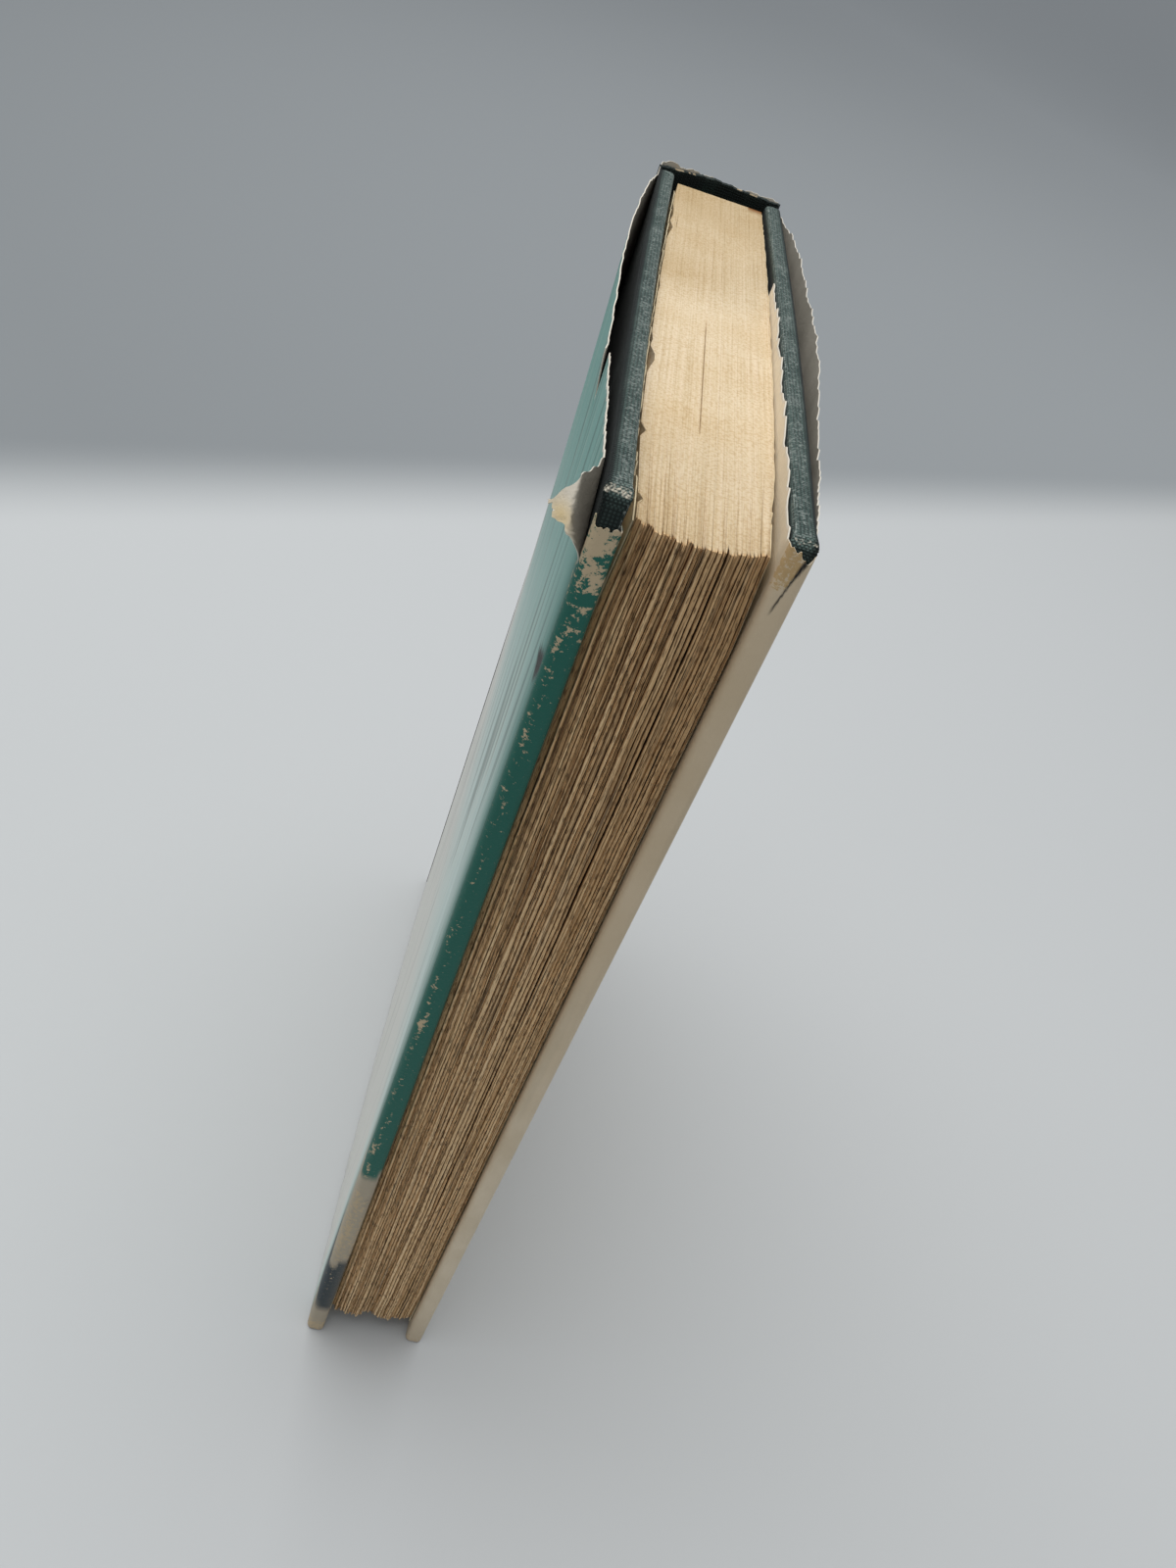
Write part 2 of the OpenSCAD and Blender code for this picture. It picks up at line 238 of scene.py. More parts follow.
# The last nodes of a paper or cloth: a bump from its own height pattern, distance in metres
def finishMaterial(tree, colour, height, distance, roughness, specular=0.3, sheen=0.0):
    bump = addNode(tree, "Bump", {"Strength": 1.0, "Distance": distance, "Height": height})
    shader = addNode(tree, "BsdfPrincipled", {"Base Color": colour, "Roughness": roughness,
                                              "Normal": bump[0], "Specular IOR Level": specular,
                                              "Sheen Weight": sheen})
    addNode(tree, "OutputMaterial", {"Surface": shader[0]})


# Book paper: matt, browned with age at the rough-cut edge, cream where it was trimmed at the head
def pagePaperMaterial():
    material, tree = newMaterial("agedBookPaper")
    place = addNode(tree, "TexCoord")["Object"]
    marks = [addNode(tree, "Attribute", attribute_name=key)["Fac"] for key in ("fore", "tone", "endShadeAndGlue")]
    fore, tone, endShadeAndGlue = marks
    headScale = (perMetre(0.22), perMetre(40), perMetre(40))  # leaves of 0.1 mm, drawn as coarse as shows
    headPlace = addNode(tree, "Mapping", {"Vector": place, "Scale": headScale})[0]
    headLines = addNode(tree, "TexNoise", {"Vector": headPlace, "Scale": 1.0, "Detail": 4.0})["Fac"]
    foreScale = (perMetre(0.2), perMetre(20), perMetre(45))
    forePlace = addNode(tree, "Mapping", {"Vector": place, "Scale": foreScale})[0]
    foreLines = addNode(tree, "TexNoise", {"Vector": forePlace, "Scale": 1.0, "Detail": 5.0})["Fac"]
    blotch = addNode(tree, "TexNoise", {"Vector": place, "Scale": perMetre(14), "Detail": 3.0})["Fac"]
    speck = addNode(tree, "TexNoise", {"Vector": place, "Scale": perMetre(0.4), "Detail": 2.0})["Fac"]
    headStops = [(0.25, "#c3ae8f"), (0.4, "#d2c1a3"), (0.6, "#dac9ae"), (0.8, "#e1d2bb")]
    headColour = addNode(tree, "ValToRGB", {"Fac": headLines}, stops=headStops)[0]
    blotchStops = [(0.3, "#e4d5b8"), (0.7, "#ffffff")]
    blotchColour = addNode(tree, "ValToRGB", {"Fac": blotch}, stops=blotchStops)[0]
    grainStops = [(0.36, "#d2bd99"), (0.56, "#ffffff")]
    grain = addNode(tree, "ValToRGB", {"Fac": speck}, stops=grainStops)[0]
    endShadeAndGlueStops = [(0.0, "#ffffff"), (0.6, "#d6cfc0"), (1.0, "#8f5f2c")]  # ends of the head darker as painted shade, glue brown at the spine
    endShadeAndGlueColour = addNode(tree, "ValToRGB", {"Fac": endShadeAndGlue}, stops=endShadeAndGlueStops)[0]
    for share, layer in ((0.4, grain), (0.5, blotchColour), (1.0, endShadeAndGlueColour)):
        headColour = addNode(tree, "Mix", {0: share, 6: headColour, 7: layer}, data_type="RGBA",
                             blend_type="MULTIPLY")[2]
    toneStops = [(0.0, "#1c0d04"), (0.2, "#5c3518"), (0.45, "#bb9c76"), (0.7, "#d9bf9a"), (1.0, "#e9d4b4")]
    foreColour = addNode(tree, "ValToRGB", {"Fac": tone}, stops=toneStops)[0]
    lineStops = [(0.35, "#3f1d06"), (0.42, "#e6d2b2"), (0.56, "#fff4e2")]
    foreLine = addNode(tree, "ValToRGB", {"Fac": foreLines}, stops=lineStops)[0]
    dashScale = (perMetre(0.17), perMetre(20), perMetre(1.6))  # short teeth where a leaf was torn
    dashPlace = addNode(tree, "Mapping", {"Vector": place, "Scale": dashScale})[0]
    dash = addNode(tree, "TexNoise", {"Vector": dashPlace, "Scale": 1.0, "Detail": 2.0})["Fac"]
    toothStops = [(0.37, "#4a240b"), (0.46, "#ffffff")]
    teeth = addNode(tree, "ValToRGB", {"Fac": dash}, stops=toothStops)[0]
    for share, layer in ((0.7, foreLine), (0.58, teeth)):
        foreColour = addNode(tree, "Mix", {0: share, 6: foreColour, 7: layer}, data_type="RGBA",
                             blend_type="MULTIPLY")[2]
    colour = addNode(tree, "Mix", {0: fore, 6: headColour, 7: foreColour}, data_type="RGBA")[2]
    lines = addNode(tree, "Mix", {0: fore, 2: headLines, 3: foreLines}, data_type="FLOAT")[0]
    height = addNode(tree, "Math", {0: lines, 1: speck}, operation="ADD")[0]
    finishMaterial(tree, colour, height, 0.0001, 0.9, 0.15)
    return material


# Cotton book cloth: a close weave, sized and dyed, rubbed pale and grey along its edges
def bookClothMaterial():
    material, tree = newMaterial("wovenBookCloth")
    place = addNode(tree, "TexCoord")["Object"]
    marks = [addNode(tree, "Attribute", attribute_name=key)["Fac"] for key in ("wear", "bare", "faded")]
    wear, bare, faded = marks
    thread = 0.314159 / 0.00045  # threads 0.45 mm apart; the real ones are a little finer
    bands = []
    for axis in "XYZ":
        links = {"Vector": place, "Scale": thread, "Distortion": 0.8, "Detail": 1.0}
        wave = addNode(tree, "TexWave", links, wave_type="BANDS", bands_direction=axis,
                       wave_profile="SIN")["Fac"]
        bands.append(addNode(tree, "Math", {0: wave, 1: 0.5}, operation="SUBTRACT")[0])
    weaveShare = 0.5  # over and under: the products of each two directions of thread
    for one, two in ((0, 1), (1, 2), (0, 2)):
        crossed = addNode(tree, "Math", {0: bands[one], 1: bands[two]}, operation="MULTIPLY")[0]
        weaveShare = addNode(tree, "Math", {0: crossed, 1: weaveShare}, operation="ADD")[0]
    patch = addNode(tree, "TexNoise", {"Vector": place, "Scale": perMetre(5), "Detail": 4.0})["Fac"]
    fine = addNode(tree, "TexNoise", {"Vector": place, "Scale": perMetre(0.36), "Detail": 2.0})["Fac"]
    darkStops = [(0.3, "#0d1615"), (0.6, "#16231f"), (0.8, "#22352f")]
    dark = addNode(tree, "ValToRGB", {"Fac": patch}, stops=darkStops)[0]  # unfaded dye under the jacket, made near black as painted shade in the gaps under the jacket and in the spine's hollow
    lightStops = [(0.3, "#3f544f"), (0.55, "#5a6c66"), (0.75, "#7a8580")]
    light = addNode(tree, "ValToRGB", {"Fac": patch}, stops=lightStops)[0]  # bleached at the open head
    base = addNode(tree, "Mix", {0: faded, 6: dark, 7: light}, data_type="RGBA")[2]
    threadStops = [(0.34, "#39433f"), (0.62, "#ffffff")]
    threads = addNode(tree, "ValToRGB", {"Fac": weaveShare}, stops=threadStops)[0]
    woven = addNode(tree, "Mix", {0: 0.75, 6: base, 7: threads}, data_type="RGBA", blend_type="MULTIPLY")[2]
    bleached = addNode(tree, "Math", {0: faded, 1: 0.62}, operation="MULTIPLY")[0]
    most = addNode(tree, "Math", {0: wear, 1: bleached}, operation="MAXIMUM")[0]
    rub = addNode(tree, "Math", {0: most, 1: fine}, operation="MULTIPLY")[0]
    rubEdge = addNode(tree, "MapRange", {"Value": rub, "From Min": 0.3, "From Max": 0.5, "To Max": 0.7})[0]
    rubbed = addNode(tree, "Mix", {0: rubEdge, 6: woven, 7: "#a3aaa4"}, data_type="RGBA")[2]
    fray = addNode(tree, "Math", {0: bare, 1: fine}, operation="MULTIPLY")[0]
    frayEdge = addNode(tree, "MapRange", {"Value": fray, "From Min": 0.4, "From Max": 0.56})[0]
    colour = addNode(tree, "Mix", {0: frayEdge, 6: rubbed, 7: "#b9b2a1"}, data_type="RGBA")[2]
    height = addNode(tree, "Math", {0: weaveShare, 1: fine}, operation="ADD")[0]
    finishMaterial(tree, colour, height, 0.0002, 0.85, 0.2, 0.04)
    return material


# Uncoated jacket paper: ink flaked off along the folds, white core showing where it is torn
def jacketMaterial(name, inks, flakes, core, inner, creaseShare):
    material, tree = newMaterial(name)
    flat = addNode(tree, "UVMap", uv_map="flat")[0]
    keys = ["inside", "edge", "worn", "handled", "stain", "paintedFacetShade", "split"] + list(inks)
    marks = {key: addNode(tree, "Attribute", attribute_name=key)["Fac"] for key in keys}
    mottle = addNode(tree, "TexNoise", {"Vector": flat, "Scale": perFlat(9), "Detail": 5.0})["Fac"]
    colour = addNode(tree, "ValToRGB", {"Fac": mottle}, stops=[(0.3, inner[1]), (0.7, inner[2])])[0]
    for key, code in inks.items():  # each ink is laid over the one before where its attribute says
        colour = addNode(tree, "Mix", {0: marks[key], 6: colour, 7: code}, data_type="RGBA")[2]
    streakPlace = addNode(tree, "Mapping", {"Vector": flat, "Scale": (perFlat(2.2), perFlat(90), 1.0)})[0]
    streak = addNode(tree, "TexNoise", {"Vector": streakPlace, "Scale": 1.0, "Detail": 3.0})["Fac"]
    paleStreak = addNode(tree, "MapRange", {"Value": streak, "From Min": 0.55, "From Max": 0.72,
                                            "To Max": creaseShare})[0]
    paleStreak = addNode(tree, "Math", {0: paleStreak, 1: marks["handled"]}, operation="MULTIPLY")[0]
    hairPlace = addNode(tree, "Mapping", {"Vector": flat, "Rotation": (0.0, 0.0, 0.05),
                                          "Scale": (perFlat(2.6), perFlat(70), 1.0)})[0]
    hair = addNode(tree, "TexNoise", {"Vector": hairPlace, "Scale": 1.0, "Detail": 1.0})["Fac"]
    hairLine = addNode(tree, "MapRange", {"Value": hair, "From Min": 0.42, "From Max": 0.35})[0]
    hairShare = addNode(tree, "Math", {0: hairLine, 1: marks["handled"]}, operation="MULTIPLY")[0]
    colour = addNode(tree, "Mix", {0: hairShare, 6: colour, 7: flakes[1]}, data_type="RGBA")[2]
    colour = addNode(tree, "Mix", {0: paleStreak, 6: colour, 7: core}, data_type="RGBA")[2]
    chip = addNode(tree, "TexNoise", {"Vector": flat, "Scale": perFlat(0.75), "Detail": 6.0,
                                      "Roughness": 0.72})["Fac"]
    chipped = addNode(tree, "Math", {0: chip, 1: marks["worn"]}, operation="ADD")[0]
    flake = addNode(tree, "MapRange", {"Value": chipped, "From Min": 0.98, "From Max": 1.02})[0]
    colour = addNode(tree, "Mix", {0: flake, 6: colour, 7: flakes[0]}, data_type="RGBA")[2]
    within = addNode(tree, "MapRange", {"Value": marks["edge"], "From Min": 0.6, "From Max": 0.2})[0]
    tornLine = addNode(tree, "Math", {0: within, 1: chip}, operation="MULTIPLY")[0]
    tornEdge = addNode(tree, "MapRange", {"Value": tornLine, "From Min": 0.2, "From Max": 0.4})[0]
    colour = addNode(tree, "Mix", {0: tornEdge, 6: colour, 7: core}, data_type="RGBA")[2]
    backing = addNode(tree, "ValToRGB", {"Fac": mottle}, stops=[(0.3, inner[0]), (0.7, inner[3])])[0]
    backing = addNode(tree, "Mix", {0: marks["stain"], 6: backing, 7: "#c7ad74"}, data_type="RGBA")[2]
    # the torn corner's first facet is darkened here: painted shade
    backing = addNode(tree, "Mix", {0: marks["paintedFacetShade"], 6: backing, 7: "#5a554b"}, data_type="RGBA")[2]
    colour = addNode(tree, "Mix", {0: marks["inside"], 6: colour, 7: backing}, data_type="RGBA")[2]
    colour = addNode(tree, "Mix", {0: marks["split"], 6: colour, 7: "#15120e"}, data_type="RGBA")[2]
    dent = addNode(tree, "Math", {0: streak, 1: chip}, operation="ADD")[0]
    rough = addNode(tree, "MapRange", {"Value": flake, "To Min": 0.55, "To Max": 0.85})[0]
    finishMaterial(tree, colour, dent, 0.00012, rough, 0.3)
    return material


def plainPaperMaterial(name, low, high, grain):  # card, lining and end papers: matt, faintly mottled
    material, tree = newMaterial(name)
    place = addNode(tree, "TexCoord")["Object"]
    mottle = addNode(tree, "TexNoise", {"Vector": place, "Scale": perMetre(12), "Detail": 5.0})["Fac"]
    fibre = addNode(tree, "TexNoise", {"Vector": place, "Scale": perMetre(grain), "Detail": 3.0})["Fac"]
    both = addNode(tree, "Mix", {0: 0.35, 2: mottle, 3: fibre}, data_type="FLOAT")[0]
    colour = addNode(tree, "ValToRGB", {"Fac": both}, stops=[(0.3, low), (0.7, high)])[0]
    finishMaterial(tree, colour, fibre, 0.00006, 0.9, 0.15)
    return material


pagePaper = pagePaperMaterial()
bookCloth = bookClothMaterial()
endPaper = plainPaperMaterial("agedEndpaper", "#d2c19d", "#dfd0b0", 0.8)
boardStock = plainPaperMaterial("greyBoard", "#8d7c62", "#ad9b7d", 0.5)
liningPaper = plainPaperMaterial("kraftLining", "#8a6b47", "#a98a62", 0.7)
frontInks = {"teal": "#7ba69d", "pale": "#c8d6d1", "chalk": "#d3d3cc", "deep": "#165c4f",
             "stone": "#a59a86", "navy": "#2a363b", "cream": "#cdbd9f"}
frontPaper = jacketMaterial("printedJacketPaper", frontInks, ("#b9a789", "#46524e"), "#dfd8ca",
                            ("#b5ac9b", "#b4c3bc", "#c4cec7", "#d0c8b8"), 0.6)
# the last ink paints the head of the flap lighter: painted light
backInks = {"toned": "#bda684", "grime": "#8f7d62", "paintedLightStrip": "#f3e6ce"}
backPaper = jacketMaterial("plainJacketPaper", backInks, ("#b99c70", "#8f866f"), "#dfd8ca",
                           ("#a09a8c", "#cbbda4", "#dacdb6", "#b9b2a4"), 0.12)
print("materials made")


# Text block: across runs through the thickness, deep from fore-edge to spine, high from tail to head
pages = {
    "foreHalf": 7.45,  # half the thickness at the fore-edge
    "swell": 0.6,  # added to each side away from the pinched corner at the head
    "foreSquare": 2.1,
    "back": 124.3,
    "tail": 3.3,
    "headSquare": 1.4,
    "headSag": 2.0,
    "bulge": 1.5,
    "deckle": 1.1,
    "bundles": 32,  # groups of leaves that stand out or back together
    "leafShares": (0.0, 0.16, 0.3, 0.5, 0.7, 0.86),  # columns of a bundle, crowded at its sides
    "deepCells": 56,
    "highCells": 130,
    "gapBundle": 21,  # the opening between two sections
    "gapDepth": 0.8,
    "tailRub": (0.9, 0.8),  # mm lost from the fore-edge at the tail, and more in the hollow
    "tailLift": (1.7, 1.3, 0.4),  # mm lost from the tail there, more in the hollow and towards the back
    "crackColumns": ((84, 0.19, 0.52), (12, 0.78, 0.86)),  # fine openings at the head, and their reach
    "crackDepth": 0.3,
    "looseColumns": (192, 198),  # leaves that have sunk at the head
    "looseDrop": 0.35,
}


def pageTop(y):  # the head of the pages slopes down to the fore-edge
    drop = pages["headSag"] * (1 - y / pages["back"])
    return book["height"] - pages["headSquare"] - drop


def pageHalf(y, z=0.0):  # half the thickness, y from the fore-edge
    pinched = (1 - smooth(y, 0, 25)) * smooth(z, 178, 194)
    return pages["foreHalf"] + pages["swell"] * (1 - pinched) + bow(y)


def pageMiddle(y):  # the leaning spine carries the middle of the pages with it
    return turnSpine(np.array([0.0, pages["back"]]))[0] * np.clip(y / pages["back"], 0, 1)


# The outside of the block: each column of the grid is a leaf's edge, set back by the bulge and the ridges
def buildTextBlock():
    inBundle = len(pages["leafShares"])
    counts = (pages["bundles"] * inBundle, pages["deepCells"], pages["highCells"])
    shares, quads = boxSurface(counts)
    column = shares[:, 0]
    widths = 0.45 + rng.uniform(0, 1, pages["bundles"])
    starts = np.concatenate([[0], np.cumsum(widths)[:-1]])
    places = (starts[:, None] + widths[:, None] * np.array(pages["leafShares"])).ravel()
    across = np.append(places / widths.sum(), 1.0)[column]
    deep = (shares[:, 1] / counts[1]) ** 1.5
    high = shares[:, 2] / counts[2]
    bundle = np.minimum(column // inBundle, pages["bundles"] - 1)
    valley = (column % inBundle == 0) & (across > 0) & (across < 1)
    reach = rng.uniform(0, 1, pages["bundles"])[bundle]
    lift = rng.uniform(-1, 1, pages["bundles"])[bundle]
    leafLift = rng.uniform(-1, 1, counts[0] + 1)[column]
    fuzz = rng.uniform(0.1, 0.8, counts[0] + 1)[column]
    spot = bundle / (pages["bundles"] - 1)
    waves = valueNoise(wander(3, pages["bundles"], 12), spot, high)
    fine = valueNoise(wander(4, pages["bundles"], 90), spot, high)
    drift = valueNoise(wander(5, 12, 22), across, high)
    gap = np.abs(column - pages["gapBundle"] * inBundle) < 2
    # depth of the edge: bulge of the block, ridge of the bundle, slow wave and fine tooth
    ridge = reach * 0.6 + 0.2 * waves + 0.1 * fine + 0.12 * leafLift + 0.15
    ridge = np.where(valley, ridge - 0.5, ridge)
    ridge = np.where(gap, ridge - pages["gapDepth"] * smooth(high, 0.1, 0.4), ridge)
    middle = 1 - (2 * across - 1) ** 2
    foreY = pages["foreSquare"] - pages["bulge"] * middle - pages["deckle"] * np.clip(ridge, -1.6, 1.15)
    side = 2 * across - 1
    foreY = foreY + book["cock"] * side * pages["foreHalf"] / book["outerX"]
    dip = np.exp(-((across - 0.47) / 0.13) ** 2)  # where the rubbed corner at the tail is hollowed
    rub, more = pages["tailRub"]
    foreY = foreY + (rub + more * dip) * smooth(-high, -0.07, 0)
    backHalf = float(pageHalf(pages["back"]))
    back = turnSpine(np.stack([side * backHalf, np.full(len(across), pages["back"])], axis=-1))
    y = foreY + (back[:, 1] - foreY) * deep
    inward = pages["back"] * deep
    chips = np.clip(1.7 * valueNoise(wander(8, 60, 2), deep, 0 * deep) - 0.5, 0, 1)
    inset = 0.75 * chips * smooth(high, 0.985, 1.0) * np.clip(1 - across / 0.05, 0, 1)
    ruffle = 0.1 * lift + 0.1 * leafLift
    crack = 0
    for at, start, stop in pages["crackColumns"]:
        reached = smooth(deep, start, start + 0.04) * smooth(-deep, -stop, 0.04 - stop)
        crack = crack + (column == at) * reached
    loose = np.isin(column, pages["looseColumns"]) * smooth(-deep, -0.75, -0.4)
    top = pageTop(y) + ruffle * (0.12 + 0.88 * (1 - deep) ** 10) - pages["crackDepth"] * crack
    top = top - pages["looseDrop"] * loose - 0.4 * middle * (1 - deep) ** 6
    bottom = pages["tail"] + (0.4 * lift + 0.2 * fine) * (1 - 0.6 * deep)
    lost, more, behind = pages["tailLift"]
    bottom = bottom + (lost + more * dip + behind * across) * (1 - deep) ** 6
    z = bottom + (top - bottom) * high
    x = side * pageHalf(inward, z) + pageMiddle(inward) + inset + 0.12 * drift * middle * (1 - deep)
    glue = smooth(deep, 0.975, 0.99) * smooth(across, 0.78, 0.86)
    tone = 0.78 + 0.12 * reach + 0.05 * waves + 0.05 * fine + 0.1 * leafLift
    tone = tone - 0.2 * smooth(high, 0.45, 0.95)
    strength = 0.75 + 0.35 * valueNoise(wander(6, pages["bundles"], 9), spot, high)
    # the valleys between bundles and the gap between sections are darkened in tone: painted shade
    tone = tone - strength * valley - 0.6 * gap * smooth(high, 0.1, 0.4)
    values = {
        "fore": smooth(-y, -foreY - fuzz, -foreY - 0.02),
        "tone": np.clip(tone, 0, 1),
        # darker towards the spine and the fore-edge as painted shade, and glue brown at the spine
        "endShadeAndGlue": np.maximum(0.3 * smooth(deep, 0.5, 0.64) + 0.2 * smooth(deep, 0.75, 1)
                           + 0.24 * smooth(-y, -34, -14) + 0.08 * smooth(-y, -8, -2), glue),
    }
    return addMesh("textBlock", np.stack([x, y, z], axis=-1), quads, values)


textBlock = buildTextBlock()
textBlock.data.materials.append(pagePaper)
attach(textBlock, "pages")
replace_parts(textBlock, "text_block")
print("pages made")


# Loose end leaves: a sheet against one side of the pages, its head chipped
leaves = {"thickness": 0.16, "rows": 130, "columns": 40, "frontChip": 1.2, "rearChip": 0.5}


def buildLeaf(name, side, chip, seed):  # the side of the pages moved out a little, its head lowered by chips
    rows = np.linspace(0, 1, leaves["rows"])
    share, up = np.meshgrid(rows, np.linspace(0, 1, leaves["columns"]) ** 0.5, indexing="ij")
    foreY = pages["foreSquare"] + 0.4 + side * book["cock"] * 0.63
    back = turnSpine(np.array([side * pageHalf(pages["back"]), pages["back"]]))
    inward = pages["back"] * share
    y = foreY + (back[1] - foreY) * share
    chips = np.abs(valueNoise(wander(seed, 46, 2), share, 0 * up)) ** 1.4
    waves = 0.05 * valueNoise(wander(seed + 1, 12, 4), share, up) * smooth(up, 0.6, 1)
    top = pageTop(y) - chip * chips - 0.2
    z = pages["tail"] + 0.3 + (top - pages["tail"] - 0.3) * up
    x = side * (pageHalf(inward, z) + 0.03 + np.abs(waves)) + pageMiddle(inward)
    grid = np.stack([x, y, z], axis=-1)
    part = sheetParts(grid, leaves["thickness"], side, {}, np.stack([y, z], axis=-1))
    leaf = addMesh(name, *part)
    leaf.data.materials.append(endPaper)
    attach(leaf, "pages")
    return leaf


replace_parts(buildLeaf("frontFlyleaf", -1, leaves["frontChip"], 21), "front_flyleaf")
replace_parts(buildLeaf("rearFlyleaf", 1, leaves["rearChip"], 31), "rear_flyleaf")
print("end leaves made")


# Covered boards: a rounded slab, its corners worn round, the cloth rubbed along the edges
covers = {
    "edge": 0.8,
    "corner": 2.6,
    "joint": 1.3,
    "cells": (10, 90, 120),
    "boardCells": (4, 40, 50),
    "pasteMargin": 4.0,
    "endpaper": 0.2,
}


def crowd(share, power):  # moves grid lines towards both ends
    t = 2 * share - 1
    return 0.5 + 0.5 * np.sign(t) * (1 - (1 - np.abs(t)) ** power)


def buildCover(name, side, seed, cells, inset):  # inset is 0 for the cloth, its thickness for the board
    shares, quads = boxSurface(cells)
    share = [shares[:, axis] / cells[axis] for axis in range(3)]
    half = np.array([book["coverThickness"], book["depth"], book["height"]]) / 2 - inset
    spread = [crowd(share[axis], power) for axis, power in enumerate((1.3, 2.2, 2.2))]
    local = (2 * np.stack(spread, axis=-1) - 1) * half
    # corners seen from the side: square rings beyond the corner's centre become arcs
    corner = np.maximum(np.abs(local[:, 1:]) - half[1:] + covers["corner"] - inset, 0)
    ring = corner.max(axis=1) / np.maximum(np.linalg.norm(corner, axis=1), 1e-9)
    both = corner.min(axis=1) > 0
    pulled = np.sign(local[:, 1:]) * (np.abs(local[:, 1:]) - corner * (1 - ring[:, None]))
    local[:, 1:] = np.where(both[:, None], pulled, local[:, 1:])
    # edges: a point keeps its nearest place in a smaller slab and is pushed out by the radius
    radius = np.where(local[:, 1] > half[1] - 2, covers["joint"], covers["edge"])[:, None] - inset
    core = np.clip(local, -(half - radius), half - radius)
    push = local - core
    length = np.maximum(np.linalg.norm(push, axis=1, keepdims=True), 1e-9)
    points = core + push / length * np.minimum(length, radius)
    rough = valueNoise(wander(seed, 60, 90), share[1], share[2])
    rim = np.sort(half - np.abs(points), axis=1)
    wear = np.exp(-(rim[:, 1] / 0.55) ** 2) * (0.8 + 0.4 * rough) * (1 - 0.6 * (points[:, 0] > 0))
    tip = np.linalg.norm(np.maximum(np.abs(points[:, 1:]) - half[1:] + 5, 0), axis=1)
    atFore = points[:, 1] < 0
    upper = smooth(np.abs(points[:, 2]), half[2] - 1.5, half[2] - 0.6)
    frayed = smooth(tip, 5.78, 5.94) * atFore * upper * (1.0 if side < 0 else 0.8)
    faded = smooth(points[:, 2], half[2] - 1.5, half[2] - 0.5)
    lower = smooth(points[:, 2], half[2] - 9, half[2] - 4) * smooth(-points[:, 1], half[1] - 3, half[1])
    # the outer rounding stays unfaded and near black: partly dye kept under the jacket, partly painted shade
    faded = np.maximum(faded, 0.3 * lower) * (1 - smooth(points[:, 0], half[0] - 0.9, half[0] - 0.3))
    bumped = smooth(tip, 4.6, 5.8) * atFore  # the bumped corner has spread
    points[:, 0] *= 1 + (0.1 + 0.06 * rough) * bumped
    points[:, 0] += bow(points[:, 1] + half[1])
    centre = np.array([side * (book["innerX"] + book["coverThickness"] / 2),
                       book["depth"] / 2 + side * book["cock"], book["height"] / 2])
    points[:, 0] *= side
    values = {"wear": np.clip(wear, 0, 1), "bare": frayed, "faded": faded}
    return addMesh(name, points + centre, quads, values)


def buildPastedown(name, side):  # end paper on the inside of a board
    margin = covers["pasteMargin"]
    y = np.linspace(margin, book["depth"] - 0.5, 40)  # runs on into the joint
    x = book["innerX"] - covers["endpaper"] + bow(y)
    plan = np.stack([side * x, y + side * book["cock"]], axis=-1)
    grid = upright(plan, book["height"] - margin, margin, 30)
    return addMesh(name, *sheetParts(grid, covers["endpaper"], side, {}, grid[..., 1:]))


def upright(plan, top, bottom, columns, power=1.0):  # carries a plan line up from bottom to top
    up = 1 - (1 - np.linspace(0, 1, columns)) ** power
    low = np.broadcast_to(bottom, len(plan))[:, None]
    z = low + (np.broadcast_to(top, len(plan))[:, None] - low) * up
    return np.concatenate([np.repeat(plan[:, None, :], columns, axis=1), z[..., None]], axis=-1)


for word, side, seed in (("front", -1, 41), ("back", 1, 42)):
    cloth = buildCover(word + "Cloth", side, seed, covers["cells"], 0)
    board = buildCover(word + "Board", side, seed, covers["boardCells"], book["cloth"])
    leaf = word.replace("back", "rear")
    paste = buildPastedown(leaf + "Pastedown", side)
    for piece, node, material, slot in ((cloth, word + "_cloth", bookCloth, "book_cloth"),
                                        (board, word + "_board", boardStock, "board"),
                                        (paste, leaf + "_pastedown", endPaper, "endpaper")):
        piece.data.materials.append(material)
        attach(piece, word + "_cover")
        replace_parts(piece, node)
print("covers made")


# Spine: arcs about one centre, turned with the lean; half is the reach either side of the middle
spine = {"half": 11.245, "centre": 101.706, "clothInner": 27.544, "clothOuter": 28.744, "rows": 60,
         "columns": 70, "lap": 2.2, "jointCloth": 0.28}
endJoint = {"paper": 0.12, "lap": 5.0, "loop": 2.6, "margin": 5.5, "rows": 24, "columns": 30}


def spineArc(radius, share):  # plan points from the back edge, share 0, to the front edge, share 1
    x = spine["half"] * (1 - 2 * share)
    y = spine["centre"] + np.sqrt(radius ** 2 - x ** 2)
    return turnSpine(np.stack([x, y], axis=-1))


def curve(start, bend, end, share):  # a quadratic curve through plan points
    share = share[:, None]
    return (1 - share) ** 2 * start + 2 * share * (1 - share) * bend + share ** 2 * end


def jointLine(side, radius, outerX, endY, count):  # plan from the spine's edge to a board's outer face
    start = spineArc(radius, np.array([0.0 if side > 0 else 1.0]))[0]
    end = np.array([side * outerX, endY + side * book["cock"]])
    bend = np.array([side * (outerX + 0.02), 0.5 * (start[1] + end[1]) + 0.35])
    return curve(start, bend, end, np.linspace(0, 1, count))


